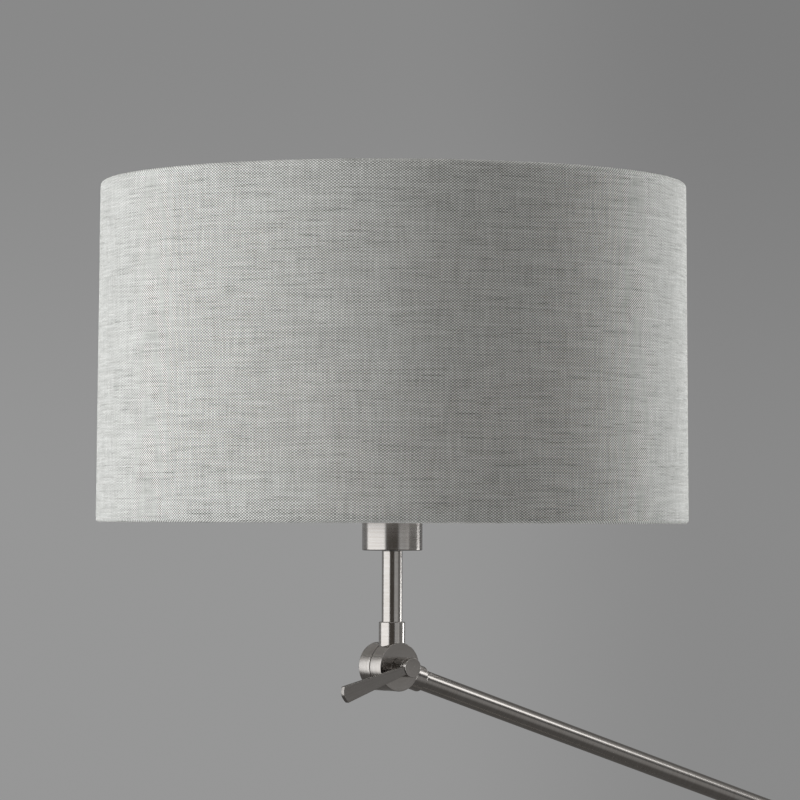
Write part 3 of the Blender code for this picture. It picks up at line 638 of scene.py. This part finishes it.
def elbow_half(name, pin, neck_line, out, body, node):
    """Half an elbow: out is -1 for a front half and 1 for a rear one, which seats the bolt."""
    centre = pin + Vector((0.0, HALF_OFFSET if out > 0 else 0.0, 0.0))
    disc_place = lying(centre, neck_line, (0.0, out, 0.0))
    neck_place = lying(centre, (0.0, 1.0, 0.0), neck_line)
    profile = [(DISC_RADIUS, DISC_OUTER), (DISC_RADIUS, DISC_INNER), (RECESS_RADIUS, DISC_INNER),
               (RECESS_RADIUS, RECESS_END), (HUB_RADIUS, RECESS_END), (HUB_RADIUS, HUB_FACE),
               (PIN_BORE, HUB_FACE)]
    if out > 0:
        profile += [(PIN_BORE, BOLT_SEAT), (BOLT_HEAD_RADIUS, BOLT_SEAT),
                    (BOLT_HEAD_RADIUS, DISC_OUTER)]
    else:
        profile += [(PIN_BORE, DISC_OUTER)]
    disc = soften(turned(profile, 128), 0.00045, segments=3)
    bmesh.ops.transform(disc, verts=disc.verts, matrix=disc_place)
    neck = turned([(0, NECK_LENGTH), (NECK_RADIUS, NECK_LENGTH), (NECK_RADIUS, NECK_ROOT),
                   (0, NECK_ROOT)], 96)
    soften(neck, 0.0007, segments=3)
    bmesh.ops.transform(neck, verts=neck.verts, matrix=neck_place)
    other_disc = cylinder(DISC_RADIUS + 0.0006, -0.0150, DISC_INNER + 0.00005, disc_place, 128)
    neck = combined(neck, other_disc, "DIFFERENCE")
    half = combined(disc, neck, "UNION")
    seat = cylinder(SEAT_BORE, SEAT_START, 0.0330, neck_place, 96)
    half = combined(half, seat, "DIFFERENCE")
    screw_spot = centre + neck_line * (SEAT_START + NECK_LENGTH) / 2
    screw_place = lying(screw_spot, neck_line, (0.0, 1.0, 0.0))
    half = combined(half, cylinder(0.0021, 0.0, 0.012, screw_place, 32), "DIFFERENCE")
    brush_two_ways(half, centre, DISC_RADIUS)
    finishes = (nickel("nickel_disc_" + name, centre, FRONT),
                nickel("nickel_neck_" + name, centre, neck_line))
    piece(name, half, Matrix.Identity(4), finishes, body, "brushed_nickel", node)


elbow_half("pole_elbow_front", POLE_PIN, -UP, -1, "mast", "pole_elbow_half")
elbow_half("pole_elbow_rear", POLE_PIN, ARM, 1, "arm", "arm_lower_half")
elbow_half("head_elbow_rear", HEAD_PIN, -ARM, 1, "arm", "arm_upper_half")
elbow_half("head_elbow_front", HEAD_PIN, UP, -1, "head", "head_elbow_half")

# ---- Elbow fixings -----------------------------------------------------------------------------
# On each pin: a bolt with its spring and friction washers, a turned spacer in front and a domed
# cap at the rear. Hexagon-socket grub screws hold the tubes.
CAP_RADIUS = 0.0070
CAP_RISE = 0.0010
PLUG_RADIUS = 0.0053
for node in ("pole_grub_screw", "head_grub_screw", "arm_lower_grub_screw", "arm_upper_grub_screw",
             "pole_bolt", "head_bolt", "pole_spring_washer", "head_spring_washer"):
    keep(node, zinc)
for node in ("pole_friction_washer", "head_friction_washer"):
    keep(node, nylon)
for prefix, pin, front_body in (("pole", POLE_PIN, "mast"), ("head", HEAD_PIN, "head")):
    pin_nickel = nickel("nickel_pin_" + prefix, pin, FRONT)
    facing_front = lying(pin, (1.0, 0.0, 0.0), FRONT)
    low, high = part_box(prefix + "_spacer")
    spacer = tube((high.x - low.x) / 2, PIN_BORE, -high.y, -low.y, 0.0003)
    piece(prefix + "_turned_spacer", spacer, facing_front, pin_nickel, front_body, "brushed_nickel",
          prefix + "_spacer")
    low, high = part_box(prefix + "_rear_cap")
    cap_edge = HALF_OFFSET + DISC_OUTER + 0.0003
    dome = [(CAP_RADIUS * math.sin(math.radians(9 * i)),
             high.y - CAP_RISE * (1 - math.cos(math.radians(9 * i)))) for i in range(11)]
    cap = turned(dome + [(CAP_RADIUS, cap_edge), (PLUG_RADIUS, cap_edge), (PLUG_RADIUS, low.y),
                         (0, low.y)], 72)
    soften(cap, 0.0002, segments=2)
    facing_rear = lying(pin, (1.0, 0.0, 0.0), -FRONT)
    piece(prefix + "_domed_cap", cap, facing_rear, pin_nickel, "arm", "brushed_nickel",
          prefix + "_rear_cap")

# ---- Levers ------------------------------------------------------------------------------------
# A tapered flat blade, wider at its slightly bowed tip, on a round boss that screws onto the pin
# and locks the elbow when it is turned.
BOSS_RADIUS = 0.0066
BOSS_THICK = 0.0044
BOSS_BORE = PIN_BORE + 0.00015
BORE_DEPTH = 0.0035
BLADE_THICK = 0.0034
BLADE_START = 0.0048
BLADE_LENGTH = 0.0595
BLADE_ROOT = 0.0027
BLADE_TIP = 0.0057
TIP_BOW = 0.0020
for prefix, pin, angle in (("pole", POLE_PIN, -17), ("head", HEAD_PIN, 197)):
    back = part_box(prefix + "_lever")[0].y + BOSS_THICK
    line = Vector((math.cos(math.radians(angle)), 0.0, math.sin(math.radians(angle))))
    place = lying(Vector((pin.x, back, pin.z)), line, FRONT)
    blade = bmesh.new()
    bow = [i / 8 for i in range(-8, 9)]
    tip = [(BLADE_LENGTH - TIP_BOW * (1 - math.cos(t * math.pi / 2)), BLADE_TIP * t) for t in bow]
    corners = [(BLADE_START, -BLADE_ROOT)] + tip + [(BLADE_START, BLADE_ROOT)]
    outline = blade.faces.new([blade.verts.new((x, y, 0.0002)) for x, y in corners])
    raised = bmesh.ops.extrude_face_region(blade, geom=[outline])["geom"]
    bmesh.ops.translate(blade, verts=[v for v in raised if isinstance(v, bmesh.types.BMVert)],
                        vec=(0, 0, BLADE_THICK))
    bmesh.ops.recalc_face_normals(blade, faces=blade.faces)
    soften(blade, 0.00035, 45.0)
    boss = turned([(0, BOSS_THICK), (BOSS_RADIUS, BOSS_THICK), (BOSS_RADIUS, 0), (BOSS_BORE, 0),
                   (BOSS_BORE, BORE_DEPTH), (0, BORE_DEPTH)], 72)
    lever = combined(soften(boss, 0.0004), blade, "UNION")
    bmesh.ops.transform(lever, verts=lever.verts, matrix=place)
    brush_two_ways(lever, pin, BOSS_RADIUS)
    # The blade's nickel is painted a darker tone than the boss's: painted shade for the light its
    # face doesn't catch.
    finishes = (nickel("nickel_boss_" + prefix, pin, FRONT),
                nickel("painted_shade_nickel_blade_" + prefix, pin, line, straight=True, tone=0.72))
    body = "pole_handle" if prefix == "pole" else "head_handle"
    piece(prefix + "_lock_lever", lever, Matrix.Identity(4), finishes, body, "brushed_nickel",
          prefix + "_lever")

# ---- Arm ---------------------------------------------------------------------------------------
# The same 14 mm nickel-plated tube, 0.55 m between the pins. Each end is seated in an elbow's neck
# and held by its grub screw.
arm_start = POLE_PIN + Vector((0.0, HALF_OFFSET, 0.0))
arm_nickel = nickel("nickel_arm", arm_start, ARM)
SEAT = SEAT_START + 0.0002
arm_tube = tube(TUBE_RADIUS, TUBE_BORE, SEAT, (HEAD_PIN - POLE_PIN).length - SEAT)
arm_place = lying(arm_start, (0.0, 1.0, 0.0), ARM)
piece("arm", arm_tube, arm_place, arm_nickel, "arm", "brushed_nickel", "arm_tube")

# ---- Stem and cup ------------------------------------------------------------------------------
# A short length of the tube rises from the head's elbow to a spun nickel cup, which holds the
# lampholder and is clamped by a nut on a nipple.
head_nickel = nickel("nickel_head", HEAD_PIN, UP)
head_place = upright((HEAD_PIN.x, 0, 0))
stem_low, stem_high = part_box("stem_tube")
stem = tube(TUBE_RADIUS, TUBE_BORE, stem_low.z, stem_high.z)
piece("stem", stem, head_place, head_nickel, "head", "brushed_nickel", "stem_tube")
cup_low, cup_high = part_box("socket_cup")
CUP_RADIUS = (cup_high.x - cup_low.x) / 2
CUP_WALL = 0.0008
cup = turned([(CUP_RADIUS, cup_high.z), (CUP_RADIUS, cup_low.z), (NIPPLE_HOLE, cup_low.z),
              (NIPPLE_HOLE, cup_low.z + CUP_WALL), (CUP_RADIUS - CUP_WALL, cup_low.z + CUP_WALL),
              (CUP_RADIUS - CUP_WALL, cup_high.z)], 128)
outer_edge = [e for e in cup.edges if all(
    v.co.z < cup_low.z + 1e-5 and v.co.xy.length > CUP_RADIUS - 1e-5 for v in e.verts)]
bmesh.ops.bevel(cup, geom=outer_edge, offset=0.0009, offset_type="OFFSET", segments=4, profile=0.5,
                affect="EDGES", material=-1)
soften(cup, 0.00025, 60.0, 2)
piece("cup", cup, head_place, head_nickel, "head", "brushed_nickel", "socket_cup")
for node in ("stem_nipple", "stem_nut"):
    keep(node, zinc)

# ---- Lampholder --------------------------------------------------------------------------------
# A black phenolic holder with a threaded outside, a brass screw shell and a centre contact. Two
# scalloped ring nuts clamp the shade's spider.
phenolic = dyed("phenolic", grey(0.012), grey(0.028), 60.0, (0.22, 0.36), 0.00005, 1500.0,
                Coat_Weight=0.2)
brass = dyed("brass", (0.66, 0.47, 0.20, 1), (0.78, 0.60, 0.30, 1), 80.0, (0.22, 0.40), 0.0001,
             1800.0, Metallic=1.0)
holder_low, holder_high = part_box("lampholder_body")
HOLDER_RADIUS = (holder_high.x - holder_low.x) / 2
THREAD_PITCH = 0.0016
THREAD_DEPTH = 0.0006
THREAD_START = 0.0008
THREAD_END = 0.0232
HOLDER_BORE = 0.0145
thread = []
level = holder_high.z - THREAD_START
while level > holder_high.z - THREAD_END:
    thread += [(HOLDER_RADIUS, level), (HOLDER_RADIUS, level - 0.3 * THREAD_PITCH),
               (HOLDER_RADIUS - THREAD_DEPTH, level - 0.6 * THREAD_PITCH),
               (HOLDER_RADIUS - THREAD_DEPTH, level - 0.7 * THREAD_PITCH)]
    level -= THREAD_PITCH
holder_floor = holder_low.z + 0.0068
holder = turned([(HOLDER_RADIUS - THREAD_DEPTH, holder_high.z)] + thread + [(HOLDER_RADIUS, level),
                (HOLDER_RADIUS, holder_low.z + 0.002), (HOLDER_RADIUS - 0.002, holder_low.z),
                (NIPPLE_HOLE, holder_low.z), (NIPPLE_HOLE, holder_floor),
                (HOLDER_BORE, holder_floor), (HOLDER_BORE, holder_high.z)], 96)
piece("lampholder", holder, head_place, phenolic, "head", "moulded_plastic", "lampholder_body")
keep("screw_shell", brass)
keep("centre_contact", brass)
keep("bulb_cap", brass)
for node in ("lower_ring_nut", "upper_ring_nut"):
    low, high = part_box(node)
    radius = (high.x - low.x) / 2
    nut = tube(radius, HOLDER_RADIUS + 0.0002, low.z, high.z, 0.0006, 96)
    for i in range(12):
        turn = math.radians(30 * i)
        reach = radius + 0.0012
        notch_place = upright((reach * math.cos(turn), reach * math.sin(turn), 0))
        notch = cylinder(0.0024, low.z - 0.001, high.z + 0.001, notch_place, 24)
        nut = combined(nut, notch, "DIFFERENCE")
    piece(node.replace("_nut", "_grip"), nut, head_place, phenolic, "head", "moulded_plastic", node)

# ---- Bulb --------------------------------------------------------------------------------------
# A 60 mm opal glass globe, unlit, that narrows to a neck in a brass screw cap.
opal = dyed("opal_glass", grey(0.80, 0.01), grey(0.86, 0.005), 40.0, (0.10, 0.18), 0.00002, 400.0,
            Coat_Weight=0.5)
bulb_low, bulb_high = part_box("bulb_glass")
GLOBE = (bulb_high.x - bulb_low.x) / 2
globe_centre = bulb_high.z - GLOBE
NECK = 0.0133
BLEND_HEIGHT = 0.0184
blend_low = bulb_low.z + BLEND_HEIGHT
turns = [math.radians(90 - 5 * i) for i in range(1, 30)]
globe = [(GLOBE * math.cos(a), globe_centre + GLOBE * math.sin(a)) for a in turns]
neck = [(0.0142, blend_low), (0.0139, bulb_low.z + 0.012), (NECK, bulb_low.z), (0, bulb_low.z)]
bulb = turned([(0.0, bulb_high.z)] + [point for point in globe if point[1] > blend_low] + neck, 96)
piece("bulb", bulb, head_place, opal, "head", "opal_glass", "bulb_glass", flat_faces=False)


# ---- Spider and rim wires ----------------------------------------------------------------------
# White powder-coated steel: a ring plate on the lampholder, three spokes bent down to the lower
# rim, and a round wire inside each rim.
def wire(points, radius, cyclic=False, smooth=True):
    """A round wire along a list of points, as a bmesh."""
    curve = bpy.data.curves.new("wire", "CURVE")
    curve.dimensions = "3D"
    curve.bevel_depth = radius
    curve.bevel_resolution = 5
    curve.resolution_u = 8
    curve.use_fill_caps = not cyclic
    spline = curve.splines.new("NURBS" if smooth else "POLY")
    spline.points.add(len(points) - 1)
    spline.use_cyclic_u = cyclic
    spline.use_endpoint_u = not cyclic
    for point, spot in zip(spline.points, points):
        point.co = (*spot, 1)
    obj = bpy.data.objects.new("wire", curve)
    bpy.context.scene.collection.objects.link(obj)
    bpy.context.view_layer.update()
    work = bmesh.new()
    work.from_mesh(obj.evaluated_get(bpy.context.evaluated_depsgraph_get()).to_mesh())
    bpy.data.objects.remove(obj)
    bmesh.ops.remove_doubles(work, verts=work.verts, dist=1e-6)
    bmesh.ops.recalc_face_normals(work, faces=work.faces)
    return work


powder = dyed("white_powder", grey(0.76, 0.01), grey(0.82, 0.01), 90.0, (0.30, 0.42), 0.00008,
              1400.0)
WIRE = 0.0015
hub_low, hub_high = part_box("spider_hub")
hub = tube((hub_high.x - hub_low.x) / 2, HOLDER_RADIUS + 0.0004, hub_low.z, hub_high.z, 0.0004, 96)
piece("spider_plate", hub, head_place, powder, "head", "white_wire", "spider_hub")
hub_level = (hub_low.z + hub_high.z) / 2
ring_low, ring_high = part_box("bottom_ring")
RING_MAJOR = (ring_high.x - ring_low.x) / 2 - WIRE
spoke_end = RING_MAJOR - 0.0016
spoke_foot = (ring_low.z + ring_high.z) / 2 + 0.0030
for i in range(3):
    turn = math.radians(30 + 120 * i)
    side = [(0.0285, hub_level), (0.060, hub_level), (0.100, hub_level), (0.130, hub_level),
            (0.1462, hub_level), (0.1500, hub_level - 0.0002), (0.1535, hub_level - 0.0020),
            (0.160, hub_level - 0.0061), (0.175, spoke_foot + 0.0133), (spoke_end, spoke_foot)]
    points = [(r * math.cos(turn), r * math.sin(turn), z) for r, z in side]
    piece(f"spider_spoke_{i + 1}", wire(points, WIRE), head_place, powder, "head", "white_wire",
          f"spoke_{i + 1}", flat_faces=False)
for node in ("bottom_ring", "top_ring"):
    low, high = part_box(node)
    major = (high.x - low.x) / 2 - WIRE
    loop = bmesh.new()
    bmesh.ops.create_circle(loop, segments=14, radius=WIRE)
    bmesh.ops.rotate(loop, verts=loop.verts, cent=(0, 0, 0),
                     matrix=Matrix.Rotation(math.pi / 2, 3, "X"))
    bmesh.ops.translate(loop, verts=loop.verts, vec=(major, 0, (low.z + high.z) / 2))
    bmesh.ops.spin(loop, geom=loop.verts[:] + loop.edges[:], cent=(0, 0, 0), axis=(0, 0, 1),
                   angle=2 * math.pi, steps=160, use_merge=True)
    bmesh.ops.recalc_face_normals(loop, faces=loop.faces)
    piece(node.replace("ring", "rim_wire"), loop, head_place, powder, "head", "white_wire", node,
          flat_faces=False)

# ---- Shade liner -------------------------------------------------------------------------------
# A white laminate, half a millimetre thick, that the cloth is bonded to. Its edges end just inside
# the rims, under the cloth that is rolled over them.
laminate = dyed("laminate", grey(0.80, 0.012), grey(0.84, 0.008), 30.0, (0.42, 0.55), 0.0001, 900.0)
SHADE_HEIGHT = shade_high.z - shade_low.z
SHADE_BOTTOM_RADIUS = (shade_high.x - shade_low.x) / 2
SHADE_TOP_RADIUS = SHADE_BOTTOM_RADIUS - 0.0020


def shade_radius(level):
    """The cloth's outer radius at a height above the lower rim."""
    return SHADE_BOTTOM_RADIUS + (SHADE_TOP_RADIUS - SHADE_BOTTOM_RADIUS) * level / SHADE_HEIGHT


LINER_TRIM = 0.0034
LINER_INSET = 0.0011
LINER_THICK = 0.0005
liner_foot = shade_low.z + LINER_TRIM
liner_head = shade_high.z - LINER_TRIM
low_radius = shade_radius(LINER_TRIM) - LINER_INSET
high_radius = shade_radius(SHADE_HEIGHT - LINER_TRIM) - LINER_INSET
liner = turned([(high_radius, liner_head), (low_radius, liner_foot),
                (low_radius - LINER_THICK, liner_foot),
                (high_radius - LINER_THICK, liner_head)], 192)
piece("white_liner", liner, head_place, laminate, "head", "shade_liner", "shade_liner")

# ---- Shade cloth -------------------------------------------------------------------------------
# Coarse plain-woven linen, bonded to the liner and rolled over both rim wires. It is one strip
# whose ends lap at the side towards the pole.
CLOTH = 0.0008
LAP = 0.0120
TURN_IN = 0.0080
ROLL = 0.0030
SOFT_ROLL = 0.0026
WALL_STEPS = 24
low_turns = [math.radians(15 * i - 12) for i in range(13)]
high_turns = [math.radians(15 * i) for i in range(13)]
wall_levels = [SOFT_ROLL + (SHADE_HEIGHT - 2 * ROLL) * i / WALL_STEPS for i in range(1, WALL_STEPS)]
edge_line = [(SHADE_BOTTOM_RADIUS - ROLL - ROLL * math.cos(a),
              shade_low.z + SOFT_ROLL - SOFT_ROLL * math.sin(a)) for a in low_turns]
edge_line += [(shade_radius(level), shade_low.z + level) for level in wall_levels]
edge_line += [(SHADE_TOP_RADIUS - ROLL + ROLL * math.cos(a),
               shade_high.z - ROLL + ROLL * math.sin(a)) for a in high_turns]
edge_line += [(SHADE_TOP_RADIUS - 2 * ROLL, shade_high.z - ROLL - TURN_IN * i / 3)
              for i in (1, 2, 3)]
cloth = bmesh.new()
turn_layer = cloth.verts.layers.float.new("turn")
rise_layer = cloth.verts.layers.float.new("rise")
front = [cloth.verts.new((r, 0.0, z)) for r, z in edge_line]
risen = 0.0
for before, vert in zip([front[0]] + front, front):
    risen += (vert.co - before.co).length
    vert[rise_layer] = risen
edges = [cloth.edges.new(pair) for pair in zip(front, front[1:])]
CLOTH_STEPS = 240
CLOTH_TURN = 2 * math.pi + LAP / SHADE_BOTTOM_RADIUS
for i in range(CLOTH_STEPS):
    grown = bmesh.ops.extrude_edge_only(cloth, edges=edges)["geom"]
    edges = [e for e in grown if isinstance(e, bmesh.types.BMEdge)]
    column = [v for v in grown if isinstance(v, bmesh.types.BMVert)]
    bmesh.ops.rotate(cloth, verts=column, cent=(0, 0, 0),
                     matrix=Matrix.Rotation(CLOTH_TURN / CLOTH_STEPS, 3, "Z"))
    for vert in column:
        vert[turn_layer] = CLOTH_TURN * (i + 1) / CLOTH_STEPS
# The end rides up over the start at the lap, and the wall is a little uneven all round.
LAP_LIFT = 0.0009
lap_turn = LAP / SHADE_BOTTOM_RADIUS
for vert in cloth.verts:
    lapped = (vert[turn_layer] - (CLOTH_TURN - 3 * lap_turn)) / (2 * lap_turn)
    lapped = min(max(lapped, 0.0), 1.0)
    lift = LAP_LIFT * lapped * lapped * (3 - 2 * lapped)
    wave = (0.00018 * math.sin(5 * vert[turn_layer] + 0.7)
            + 0.00010 * math.sin(11 * vert[turn_layer] + 2.1))
    reach = vert.co.xy.length
    vert.co.xy *= (reach + lift + wave) / reach
uv_layer = cloth.loops.layers.uv.new("cloth")
for face in cloth.faces:
    for loop in face.loops:
        loop[uv_layer].uv = (loop.vert[turn_layer] * SHADE_BOTTOM_RADIUS, loop.vert[rise_layer])

# The weave: warp threads stand 1.16 mm apart and weft threads 0.88 mm, with darker slubs and
# lighter threads in the weft.
WARP_PITCH = 0.00116
WEFT_PITCH = 0.00088
linen, start = new_finish("linen_cloth")
spot = start.node("UVMap", {"uv_map": "cloth"})
drift = noise(scaled(spot, (60.0, 60.0, 60.0)), 1.0, 2.0)
sway = noise(scaled(spot, (160.0, 90.0, 60.0)), 1.0, 2.0)
split = spot.node("SeparateXYZ", None, {0: spot})
across = split / WARP_PITCH + (drift - 0.5) * 1.0
rise = Signal(linen.node_tree, split.socket.node.outputs[1]) / WEFT_PITCH + (sway - 0.5) * 1.0
warp_index = across.math("ROUND")
weft_index = rise.math("ROUND")
checker = (across * math.pi).math("COSINE") * (rise * math.pi).math("COSINE")
crown = checker.math("ABSOLUTE")
over = checker.step(-0.5, 0.5)
# Painted shade: the cloth is darker in the gaps between the warp threads and lighter on their
# crowns.
warp_gap_shade = (across * math.pi).math("COSINE").math("ABSOLUTE")
weft_line = start.node("CombineXYZ", None, {"X": across * 0.03, "Y": weft_index * 7.31})
warp_line = start.node("CombineXYZ", None, {"X": warp_index * 3.7, "Y": rise * 0.04})
slub_line = start.node("CombineXYZ", None, {"X": across * 0.045, "Y": weft_index * 6.17, "Z": 4.0})
weft_tone = noise(weft_line, 1.0, 2.0)
warp_tone = noise(warp_line, 1.0, 2.0)
slub = noise(slub_line, 1.0, 1.0).step(0.60, 0.72)
fleck = noise(slub_line, 1.7, 1.0).step(0.64, 0.76)
cloud = noise(scaled(spot, (22.0, 30.0, 22.0)), 1.0, 3.0)
fibre = noise(scaled(spot, (1500.0, 3000.0, 1500.0)), 1.0, 2.0)
tone = (over * 0.70 + warp_gap_shade * 0.20 + (weft_tone - 0.5) * 0.42 + (warp_tone - 0.5) * 0.30
        + (fibre - 0.5) * 0.24 + (cloud - 0.5) * 0.03 + 0.01)
tone = (tone - slub * 0.12 + fleck * 0.05).math("MAXIMUM", 0.0).math("MINIMUM", 1.0)
dye = tone.mix((0.082, 0.087, 0.078, 1.0), (0.935, 0.948, 0.928, 1.0))
relief = crown * 0.6 + slub * 0.5 + fibre * 0.15
close_finish(start, {"Base Color": dye, "Roughness": 0.93, "Specular IOR Level": 0.2,
                     "Normal": bump(relief, 0.00012, 0.9)})
cover = piece("shade_cloth", cloth, head_place, linen, "head", "linen", "shade_fabric",
              flat_faces=False)
thick = cover.modifiers.new("thickness", "SOLIDIFY")
thick.thickness = CLOTH
thick.offset = -1.0
